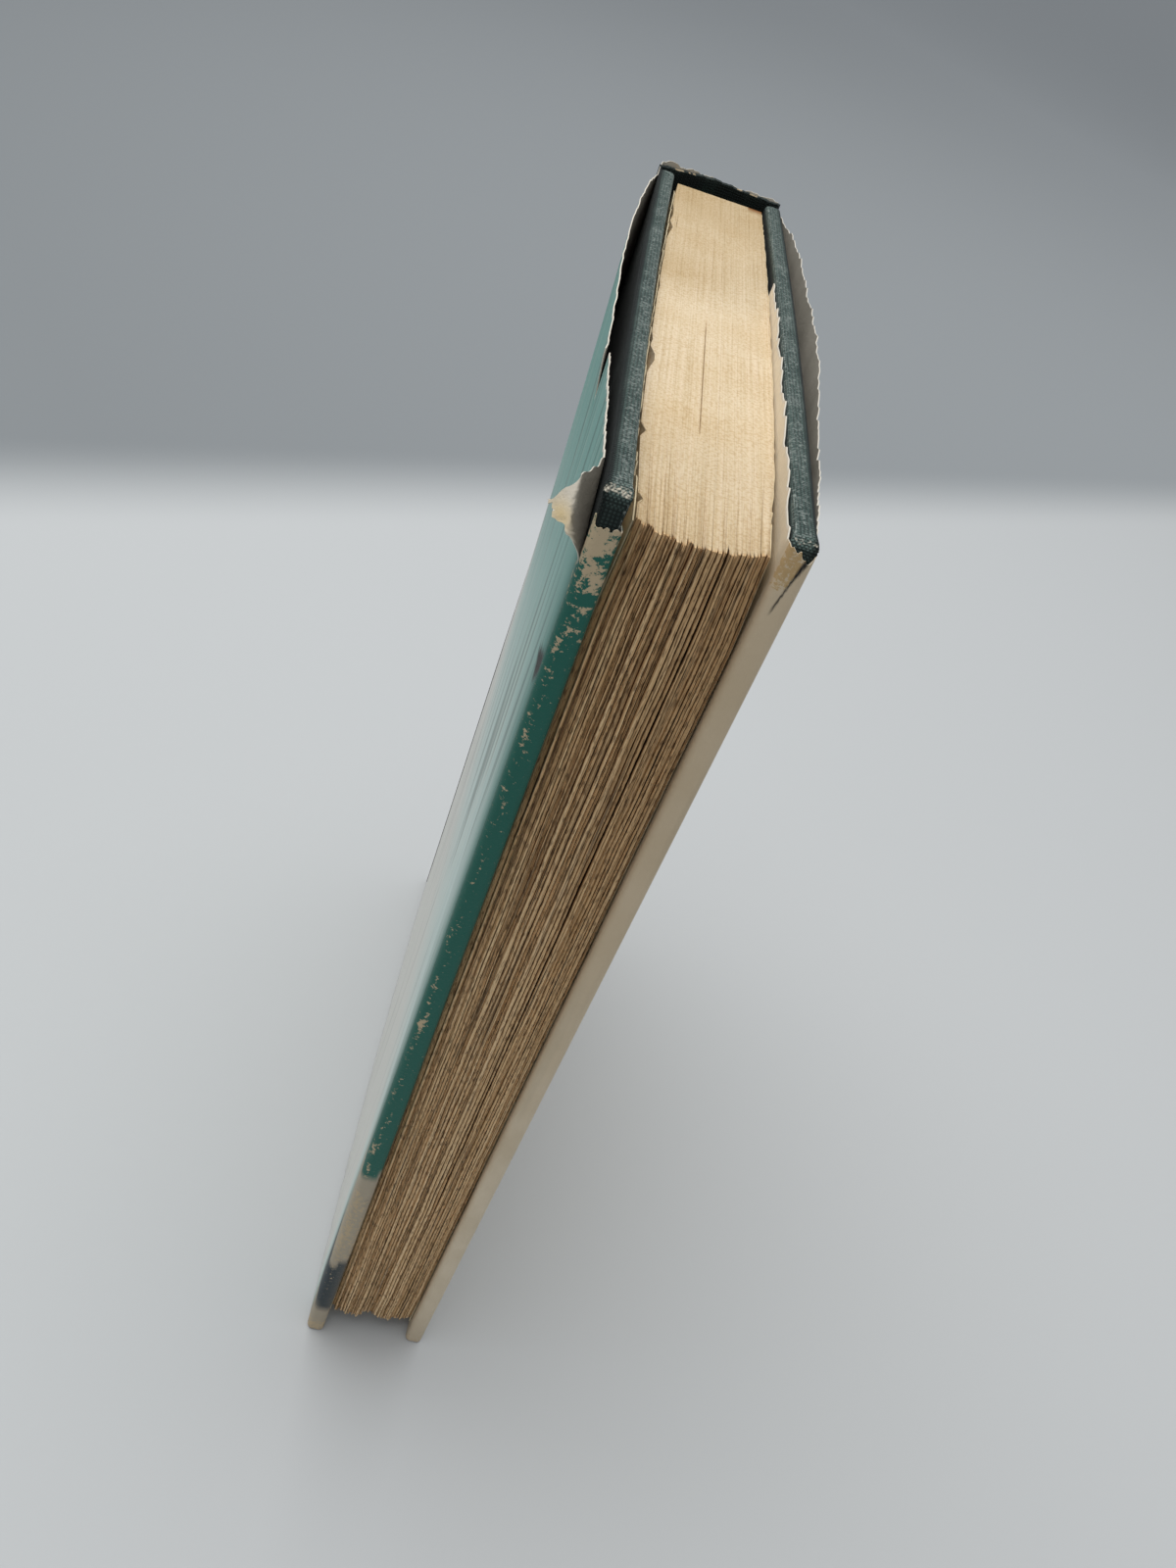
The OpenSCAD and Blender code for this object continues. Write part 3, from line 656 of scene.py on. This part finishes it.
def buildSpineCloth():  # an arc of the spine carried up to a frayed head
    share = np.linspace(0, 1, spine["rows"])
    plan = spineArc(spine["clothInner"], share)
    top = book["height"] - 0.2 + 0.25 * torn(share * 90 + 12)
    grid = upright(plan, top, 0.0, spine["columns"], 1.6)
    thickness = spine["clothOuter"] - spine["clothInner"]
    flat = np.stack([np.repeat(share[:, None] * 22, spine["columns"], 1), grid[..., 2]], axis=-1)
    rubbed = np.exp(-((book["height"] - grid[..., 2]) / 0.6) ** 2)
    values = {"wear": 0.35 * rubbed, "bare": 0 * rubbed, "faded": 0.2 * rubbed}
    piece = addMesh("spineCloth", *sheetParts(grid, thickness, 1, values, flat))
    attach(piece, "pages")
    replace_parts(piece, "spine_cloth")
    return piece


def buildJointCloth(name, side):  # the joint line carried up, lapped on to the board
    middle = (spine["clothInner"] + spine["clothOuter"]) / 2
    plan = jointLine(side, middle, book["outerX"] - 0.32, book["depth"] - spine["lap"], 14)
    grid = upright(plan, book["height"] - 0.5, 0.5, 40, 1.6)
    flat = np.stack([grid[..., 1], grid[..., 2]], axis=-1)
    values = {"wear": 0.3 + 0 * grid[..., 2], "bare": 0 * grid[..., 2], "faded": 0 * grid[..., 2]}
    piece = addMesh(name, *sheetParts(grid, spine["jointCloth"], 1, values, flat))
    blendJoint(piece, side)
    return piece


def blendJoint(piece, side):  # bakes the piece's placement into its points
    edge = spineArc(spine["clothOuter"], np.array([0.0 if side > 0 else 1.0]))[0][1]
    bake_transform(piece)


def buildEndpaperJoint(name, side):  # end paper folded into the joint between flyleaf and board
    share = np.linspace(0, 1, endJoint["rows"])
    inner = turnSpine(np.array([side * (pageHalf(pages["back"]) + 0.1), pages["back"] - 0.6]))
    outer = np.array([side * (book["innerX"] - 0.1), book["depth"] - endJoint["lap"] + side * book["cock"]])
    plan = inner + (outer - inner) * share[:, None]
    plan[:, 1] += endJoint["loop"] * np.sin(np.pi * share) ** 0.8
    grid = upright(plan, book["height"] - endJoint["margin"], endJoint["margin"], endJoint["columns"])
    piece = addMesh(name, *sheetParts(grid, endJoint["paper"], side, {}, grid[..., 1:]))
    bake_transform(piece)
    piece.data.materials.append(endPaper)


buildEndpaperJoint("frontEndpaperJoint", -1)
buildEndpaperJoint("rearEndpaperJoint", 1)
spineCloth = buildSpineCloth()
jointCloths = [buildJointCloth("frontJointCloth", -1),
               buildJointCloth("backJointCloth", 1)]
for piece in [spineCloth] + jointCloths:
    piece.data.materials.append(bookCloth)
print("spine made")


# Jacket: one sheet round the book, flat place y and z turned into the bowed, torn and folded paper
jacket = {
    "paper": 0.16,
    "panelStart": 126.2,
    "panelEnd": 0.85,
    "tail": 0.4,
    "headLoss": 1.4,
    "ragged": 0.6,
    "frontStandOff": 3.0,
    "backStandOff": 4.0,
    "bowSkew": 0.7,
    "tearRun": 10.0,
    "tearDrop": 10.5,
    "bends": ((34, 0.0), (86, 4.2)),  # degrees, and mm past the tear where each bend starts
    "bendWidth": 0.25,
    "tearFoot": 186.0,  # height at which the torn corner leaves the fold
    "dogEar": 2.2,  # paper torn from the fold with the corner
    "notch": (38.5, 1.1, 7.0),  # place, width and depth of the small head tear
    "foldRadius": 0.85,
    "foldPlay": 0.15,
    "flapX": 8.545,
    "foldPoints": 25,  # points of the plan from panel to flap
    "frontLoss": (4.8, 8.0),  # lost from the head of the fold and of the flap
    "rearLoss": (1.3, 0.4),
    "frontFlap": 78.0,
    "rearFlap": 82.0,
    "columns": 130,
    "crowding": 1.8,  # grid lines lie closer towards the head
}


def standOff(y, z, most):  # most at the head, none at the joint, the fold and the tail
    along = (jacket["panelStart"] - y) / (jacket["panelStart"] - jacket["panelEnd"])
    rise = (np.clip(z, 0, None) / book["height"]) ** 3
    return (most - book["bow"]) * np.sin(np.pi * np.clip(along, 0, 1) ** jacket["bowSkew"]) * rise


def headZ(y, seed):  # the torn head edge of a panel
    fibres = 0.16 * sinDeg(190 * y + seed)
    return book["height"] - jacket["headLoss"] + jacket["ragged"] * torn(y + seed) + fibres


def pastTear(y, z):  # distance beyond the slanting line of the tear
    run, drop = jacket["tearRun"], jacket["tearDrop"]
    return ((run - y) * drop - (book["height"] - z) * run) / np.hypot(run, drop)


def curl(y, z):  # the torn corner, bent outwards along the tear and again along a second crease
    run, drop = jacket["tearRun"], jacket["tearDrop"]
    length = np.hypot(run, drop)
    past = pastTear(y, z)
    steps = np.linspace(0, 20, 400)
    turn = 0 * steps
    for angle, start in jacket["bends"]:
        turn = turn + np.radians(angle) * smooth(steps, start, start + jacket["bendWidth"])
    along = np.cumsum(np.cos(turn)) * steps[1]
    out = np.cumsum(np.sin(turn)) * steps[1]
    shift = np.where(past > 0, np.interp(past, steps, along) - past, 0)
    return shift * drop / length, shift * run / length, np.where(past > 0, np.interp(past, steps, out), 0)


def panelGrid(side, rows, top):  # the sheet over a board, from joint to fold
    up = 1 - (1 - np.linspace(0, 1, jacket["columns"])) ** jacket["crowding"]
    y = np.repeat(rows[:, None], jacket["columns"], axis=1)
    z = jacket["tail"] + (top[:, None] - jacket["tail"]) * up
    most = jacket["frontStandOff"] if side < 0 else jacket["backStandOff"]
    ripple = valueNoise(wander(60 + side, 50, 5), y / jacket["panelStart"], z / book["height"])
    out = standOff(y, z, most) + bow(y) + 0.1 * (1 + ripple) * smooth(y, 3, 12) * smooth(-y, -124, -110)
    place = [y, z]
    if side < 0:
        tear = jacket["notch"][0]  # one lip of the small head tear stands out
        lip = smooth(y, tear - 0.3, tear + 0.5) * np.exp(-np.maximum(y - tear - 0.5, 0) / 5)
        out = out + 0.6 * lip * smooth(z, 184, 195)
        foot = jacket["tearFoot"]
        missing = jacket["dogEar"] * (1 + 0.3 * torn(20 * z)) * smooth(z, foot + 1, foot + 6)
        y = y - missing * smooth(-y, -6, -0.9)
        backY, upZ, curled = curl(y, z)
        out = out + curled
        place = [y - backY, z + upZ]
    grid = np.stack([side * (book["outerX"] + out), place[0] + side * book["cock"], place[1]], axis=-1)
    return grid, y, z


def foldPlan(flapWidth):  # round the fore-edge and along the inside of the board, for the +X side
    r = jacket["foldRadius"]
    play = jacket["foldPlay"]
    a = np.radians(np.linspace(0, -90, 9))
    outer = np.stack([book["outerX"] - r - play / 2 + (r + play / 2) * np.cos(a),
                      r - play / 2 + (r + play / 2) * np.sin(a)], axis=-1)
    b = np.radians(np.linspace(-90, -180, 9))
    inner = np.stack([jacket["flapX"] + r + r * np.cos(b), r - play + r * np.sin(b)], axis=-1)
    bridge = np.linspace(outer[-1], inner[0], 9)[1:-1]
    y = np.linspace(r, flapWidth, 60)[1:]
    flap = np.stack([jacket["flapX"] + bow(y), y], axis=-1)
    return np.concatenate([outer, bridge, inner, flap])


def pathLength(plan):  # length along a plan line up to each point
    return np.concatenate([[0], np.cumsum(np.linalg.norm(np.diff(plan, axis=0), axis=1))])


def foldTop(plan, losses, seed):  # low where the fold is worn through, then the flap's own height
    foldLoss, flapLoss = losses
    onFlap = smooth(np.arange(len(plan)), jacket["foldPoints"] - 1, jacket["foldPoints"] + 1)
    flat = np.clip((plan[:, 1] - jacket["panelEnd"]) / jacket["tearDrop"], 0, 1)
    loss = foldLoss + (flapLoss - foldLoss) * flat * onFlap
    reach = pathLength(plan)
    jag = 0.35 * valueNoise(wander(seed, 300, 2), reach / reach[-1], 0 * reach)
    return book["height"] - loss + jacket["ragged"] * torn(3 * reach + seed) + jag


def inkValues(u, z, edge):  # how much of each ink lies at u mm from the front fold and z mm up
    past = pastTear(u, z)
    fold = np.exp(-(np.maximum(np.abs(u + 1.2) - 2.6, 0) / 2.6) ** 2)
    tailBand = smooth(z - 0.35 * (u + 1.2) ** 2, 61, 60)  # the dark ink ends in a round tongue
    navy = smooth(z - 0.5 * (u + 1) ** 2, 28.6, 28) * smooth(z - 0.5 * u, 10, 12) * np.exp(-(u / 5) ** 4)
    arc = np.exp(-((z - 54 + 0.3 * (u + 1) ** 2) / 0.5) ** 2) * np.exp(-((u + 1) / 1.8) ** 2)
    slant = 0.45 * (u - 5.4) + 1.44 * (z - 169.4)  # the hooked scuff lies along its own slanted axes
    length = -3 * (u - 5.4) - 4.1 * (z - 169.4)
    hook = np.abs(slant - 2.5 + 0.02 * (length + 6) ** 2)
    scuff = 1.9 * (1 - (length / 10.5) ** 2) - hook
    softFold = 1 / (1 + (np.maximum(u - 0.4, 0) / 3.4) ** 1.6)  # the dark ink fades out over the panel
    bared = 0.345 + 0.02 * smooth(z, 150, 172) + 0.05 * smooth(z, 174, 181)
    bared = bared + 0.09 * smooth(z, 182, 189)  # most of the ink is gone at the torn corner
    bared = bared + 0.12 * smooth(z, 62, 50) * smooth(z, 26, 34) + 0.2 * smooth(z, 6, 3)
    ridge = 0.13 * np.exp(-((u + 1.4 + 0.6 * torn(5 * z)) / 0.4) ** 2)  # rubbed spots along the fold
    ridge = ridge * smooth(z, 12, 20) * (0.55 + 0.7 * torn(4 * z))
    lumps = valueNoise(wander(9, 36, 6), np.clip((z - 150) / 46, 0, 1), np.clip((u + 4) / 8, 0, 1))
    ridge = ridge + 0.14 * fold * smooth(z, 173, 182) * lumps
    flakes = np.exp(-((z - 106) / 2.2) ** 2 - ((u + 1.6) / 0.7) ** 2)
    flakes = flakes + np.exp(-((z - 70) / 1.7) ** 2 - ((u + 0.8) / 0.8) ** 2)
    return {
        "teal": 0.25 + 0.75 * smooth(z, 60, 175),
        "pale": 0.85 * smooth(z + 0.25 * u, 203, 122) * smooth(u, 2, 10),
        "chalk": smooth(z - 0.6 * u, 110, 40) * smooth(u, 5, 14),
        "deep": np.where(u > 0, softFold * (1 - tailBand) + fold * tailBand, fold),
        "stone": tailBand * fold,
        "navy": np.maximum(navy, 0.7 * arc),
        "cream": smooth(-u, 5.5, 7.5),  # the flap is unprinted
        "edge": edge,
        "worn": fold * bared + ridge + 0.2 * flakes,
        "handled": smooth(u, 3, 9) * (0.12 + 0.36 * smooth(z, 50, 120)),
        "split": smooth(scuff, -0.5, 0.2) * smooth(u, 1.0, 1.7),
        # the facet between the tear and the second crease is darkened: painted shade
        "paintedFacetShade": 0.7 * smooth(past, -0.2, 0.2) * smooth(-past, -4.4, -4.1) * (u > 0),
        "stain": 0.7 * np.exp(-((u + 0.8) / 1.3) ** 2 - ((z - 192.5) / 2) ** 2) * (u < 0.8),
    }


# Spine, joint and front panel in one sheet, torn from the fold at the head, and the fold with its flap
def buildFrontJacket():
    share = np.linspace(0, 1, 40)
    arc = spineArc(spine["clothOuter"], share)
    joint = jointLine(-1, spine["clothOuter"], book["outerX"], jacket["panelStart"], 12)[1:-1]
    rows = np.concatenate([np.linspace(jacket["panelStart"], 46, 70), np.linspace(45.6, 30, 60),
                           np.linspace(29.7, jacket["panelEnd"], 100)])
    place, width, depth = jacket["notch"]
    notch = depth * np.clip(1 - np.abs(rows - place) / (width / 2), 0, 1)
    panelTop = headZ(rows, 0) - notch
    panel, y, z = panelGrid(-1, rows, panelTop)
    ragged = torn(pathLength(arc) * 3 + 9)
    head = book["height"] - 0.1 + 0.45 * ragged + 0.5 * smooth(share, 0.8, 1) * (1 + sinDeg(900 * share))
    lower = np.linspace(head[-1], panelTop[0], len(joint) + 2)[1:-1]
    back = upright(np.concatenate([arc, joint]), np.concatenate([head, lower]), jacket["tail"],
                   jacket["columns"], jacket["crowding"])
    sheet = np.concatenate([back, panel])
    behind = pathLength(np.concatenate([arc, joint, panel[:1, 0, :2]]))
    spineU = (jacket["panelStart"] + behind[-1] - behind[:-1])[:, None] + 0 * back[..., 2]
    u = np.concatenate([spineU, y])
    flatZ = np.concatenate([back[..., 2], z])
    top = np.concatenate([back[:, -1, 2], panelTop])[:, None]
    edge = np.minimum(top - flatZ, np.where(flatZ > jacket["tearFoot"], u - u[-1:], 9))
    values = inkValues(u, flatZ, edge)
    front = sheetParts(sheet, jacket["paper"], 1, values, np.stack([u, flatZ], axis=-1))
    plan = foldPlan(jacket["frontFlap"])
    reach = -pathLength(plan)
    foldHead = foldTop(plan, jacket["frontLoss"], 4) + 0.7 * np.exp(-(reach / 0.5) ** 2)
    plan = plan * [-1, 1] + [0, -book["cock"]]
    fold = upright(plan, foldHead, jacket["tail"], jacket["columns"], jacket["crowding"])
    u = reach[:, None] + 0 * fold[..., 2]
    edge = np.minimum(np.where(u < -6, foldHead[:, None] - fold[..., 2], 9), reach[:, None] - reach[-1])
    flap = sheetParts(fold, jacket["paper"], 1, inkValues(u, fold[..., 2], edge),
                      np.stack([u, fold[..., 2]], axis=-1))
    return addMesh("frontJacket", *joinParts([front, flap]))


# Joint, back panel, fold and flap in one sheet, split at the head of the fold
def buildBackJacket():
    joint = jointLine(1, spine["clothOuter"], book["outerX"], jacket["panelStart"], 12)[:-1]
    rows = np.concatenate([np.linspace(jacket["panelStart"], 20, 90), np.linspace(19.5, 1.2, 50)])
    panelTop = headZ(rows, 50)
    panel, _, z = panelGrid(1, rows, panelTop)
    plan = foldPlan(jacket["rearFlap"])
    reach = pathLength(plan)
    nick = np.clip(1 - np.abs(reach - 1.2) / 0.9, 0, 1)  # where the fold has split at the head
    foldHead = foldTop(plan, jacket["rearLoss"], 50) - 0.9 * nick
    fold = upright(plan + [0, book["cock"]], foldHead, jacket["tail"], jacket["columns"], jacket["crowding"])
    back = upright(joint, panelTop[0], jacket["tail"], jacket["columns"], jacket["crowding"])
    sheet = np.concatenate([back, panel, fold])
    behind = pathLength(np.concatenate([joint, panel[:1, 0, :2]]))
    u = np.concatenate([jacket["panelStart"] + behind[-1] - behind[:-1], rows, -pathLength(plan)])
    u = u[:, None] + 0 * sheet[..., 2]
    top = np.concatenate([back[:, -1, 2], panelTop, foldHead])[:, None]
    flatZ = np.concatenate([back[..., 2], z, fold[..., 2]])
    edge = np.minimum(top - flatZ, u - u[-1:])
    edge = np.where((u < 0.6) & (u > -5), 9, edge)
    onFold = np.exp(-(np.maximum(np.abs(u + 1.2) - 2.4, 0) / 2) ** 2)
    # the split runs down and inwards from the nick
    splitU = -1.2 - 1.3 * np.clip((194.2 - flatZ) / 6.9, 0, 1) ** 0.8
    width = 0.16 + 0.3 * smooth(flatZ, 191, 194.5)
    split = np.clip(1.6 - 1.6 * np.abs(u - splitU) / width, 0, 1) * smooth(flatZ, 187, 187.8)
    patch = smooth(splitU - u, -0.1, 0.2) * smooth(flatZ, 188, 191.5) * smooth(u, -4.6, -3.8)
    values = {
        "toned": 0.2 + 0.4 * onFold * smooth(flatZ, 40, 150) - 0.1 * smooth(-u, 5, 8),
        "grime": 0.12 * smooth(flatZ, 30, 0) + 0.15 * onFold * smooth(flatZ, 12, 0),
        # the head of the flap is painted lighter: painted light
        "paintedLightStrip": (0.35 * smooth(-u, 5, 8) + 0.5 * smooth(-u, 15, 45)) * smooth(flatZ, 186, 192),
        "edge": edge,
        "worn": onFold * (0.25 + 0.2 * smooth(flatZ, 6, 1)) + 0.3 * patch,
        "handled": 0.12 + 0 * u,
        "split": split,
        "paintedFacetShade": 0 * u,
        "stain": 0 * u,
    }
    part = sheetParts(sheet, jacket["paper"], -1, values, np.stack([u, flatZ], axis=-1))
    return addMesh("backJacket", *part)


frontJacket = buildFrontJacket()
frontJacket.data.materials.append(frontPaper)
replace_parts(frontJacket, "jacket_front", "jacket_spine")
blendJoint(frontJacket, -1)
backJacket = buildBackJacket()
backJacket.data.materials.append(backPaper)
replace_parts(backJacket, "jacket_back")
blendJoint(backJacket, 1)
print("jacket made")


# Pieces kept from the frame
kept = {"spine_stiffener": boardStock, "spine_lining": liningPaper}
for name, material in kept.items():
    nodes[name].data.materials.clear()
    nodes[name].data.materials.append(material)
print("kept pieces finished")


# Floor, light and camera
studio = {
    "floor": "#b6b8b8",
    "floorReach": 12.0,
    "paintedFarShade": ("#7d8183", "#a8acae"),  # left and right: painted shade beyond the horizon, the right painted lighter as painted light to even out the one lamp
    "world": "#e9edf2",
    "worldStrength": 0.55,
    "key": (-0.25, 0.25, 1.4),
    "keySize": 1.5,
    "keyPower": 22.0,
    "eye": (-20.419, -111.214, 250.504),  # book frame, mm
    "focal": 1230.3,  # pixels of the 1200 by 1600 image
    "horizonRows": (540, 465),  # image rows between which the floor turns to the darker painted shade
    "right": (0.949839, 0.088928, 0.29983),
    "down": (0.284703, -0.642629, -0.711317),
    "forward": (0.129424, 0.760999, -0.635712),
}


def floorPoint(column, row):  # where an image point lies on the floor, in the row frame
    eye = toRow(studio["eye"])
    ray = np.array(studio["forward"])
    ray = ray + np.array(studio["right"]) * (column - 600) / studio["focal"]
    ray = ray + np.array(studio["down"]) * (row - 800) / studio["focal"]
    return eye - ray * eye[2] / ray[2]


# A pale floor painted darker beyond the horizon line as painted distance shade, one large soft lamp and an
# even sky
def buildStage():
    side = studio["floorReach"]
    mesh = bpy.data.meshes.new("floor")
    corners = [(-side, -side, 0), (side, -side, 0), (side, side, 0), (-side, side, 0)]
    mesh.from_pydata(corners, [], [(0, 1, 2, 3)])
    floor = bpy.data.objects.new("floor", mesh)
    bpy.context.scene.collection.objects.link(floor)
    material, tree = newMaterial("paleFloor")
    place = addNode(tree, "TexCoord")["Object"]
    near, far = studio["horizonRows"]
    line = floorPoint(1200, near) - floorPoint(0, near)
    across = np.array([-line[1], line[0], 0]) / np.linalg.norm(line)
    limits = [float(across @ floorPoint(600, row)) for row in (near, far)]
    distance = addNode(tree, "VectorMath", {0: place, 1: across.tolist()}, operation="DOT_PRODUCT")["Value"]
    share = addNode(tree, "MapRange", {"Value": distance, "From Min": limits[0], "From Max": limits[1]},
                    interpolation_type="SMOOTHSTEP")[0]
    along = line / np.linalg.norm(line)
    reach = [float(along @ floorPoint(column, 200)) for column in (0, 1200)]
    sideways = addNode(tree, "VectorMath", {0: place, 1: along.tolist()}, operation="DOT_PRODUCT")["Value"]
    rightShare = addNode(tree, "MapRange", {"Value": sideways, "From Min": reach[0],
                                            "From Max": reach[1]})[0]
    leftCode, rightCode = studio["paintedFarShade"]
    # darker beyond the horizon as painted shade; lighter to the right as painted light against the one lamp
    paintedFarShade = addNode(tree, "Mix", {0: rightShare, 6: leftCode, 7: rightCode}, data_type="RGBA")[2]
    colour = addNode(tree, "Mix", {0: share, 6: studio["floor"], 7: paintedFarShade}, data_type="RGBA")[2]
    shader = addNode(tree, "BsdfPrincipled", {"Base Color": colour, "Roughness": 0.7,
                                              "Specular IOR Level": 0.2})
    addNode(tree, "OutputMaterial", {"Surface": shader[0]})
    mesh.materials.append(material)
    world = bpy.data.worlds.new("studio")
    world.use_nodes = True
    world.node_tree.nodes["Background"].inputs[0].default_value = linear(studio["world"])
    world.node_tree.nodes["Background"].inputs[1].default_value = studio["worldStrength"]
    bpy.context.scene.world = world
    lamp = bpy.data.lights.new("key", "AREA")
    lamp.size = studio["keySize"]
    lamp.energy = studio["keyPower"]
    key = bpy.data.objects.new("key", lamp)
    key.location = studio["key"]
    aim = Vector((0, 0, 0.1)) - key.location
    key.rotation_euler = aim.to_track_quat("-Z", "Y").to_euler()
    bpy.context.scene.collection.objects.link(key)


def buildCamera():  # the axes of the image become the camera's own axes
    lens = bpy.data.cameras.new("camera")
    lens.sensor_fit = "VERTICAL"
    lens.sensor_height = 36.0
    lens.lens = lens.sensor_height * studio["focal"] / 1600
    lens.clip_start = 0.005
    lens.clip_end = 50.0
    camera = bpy.data.objects.new("camera", lens)
    turn = np.array([studio["right"], -np.array(studio["down"]), -np.array(studio["forward"])]).T
    whole = Matrix(turn.tolist()).to_4x4()
    whole.translation = toRow(studio["eye"])
    camera.matrix_world = whole
    bpy.context.scene.collection.objects.link(camera)
    bpy.context.scene.camera = camera


buildStage()
buildCamera()
bpy.context.scene.view_settings.view_transform = "Standard"
print("stage and camera made")
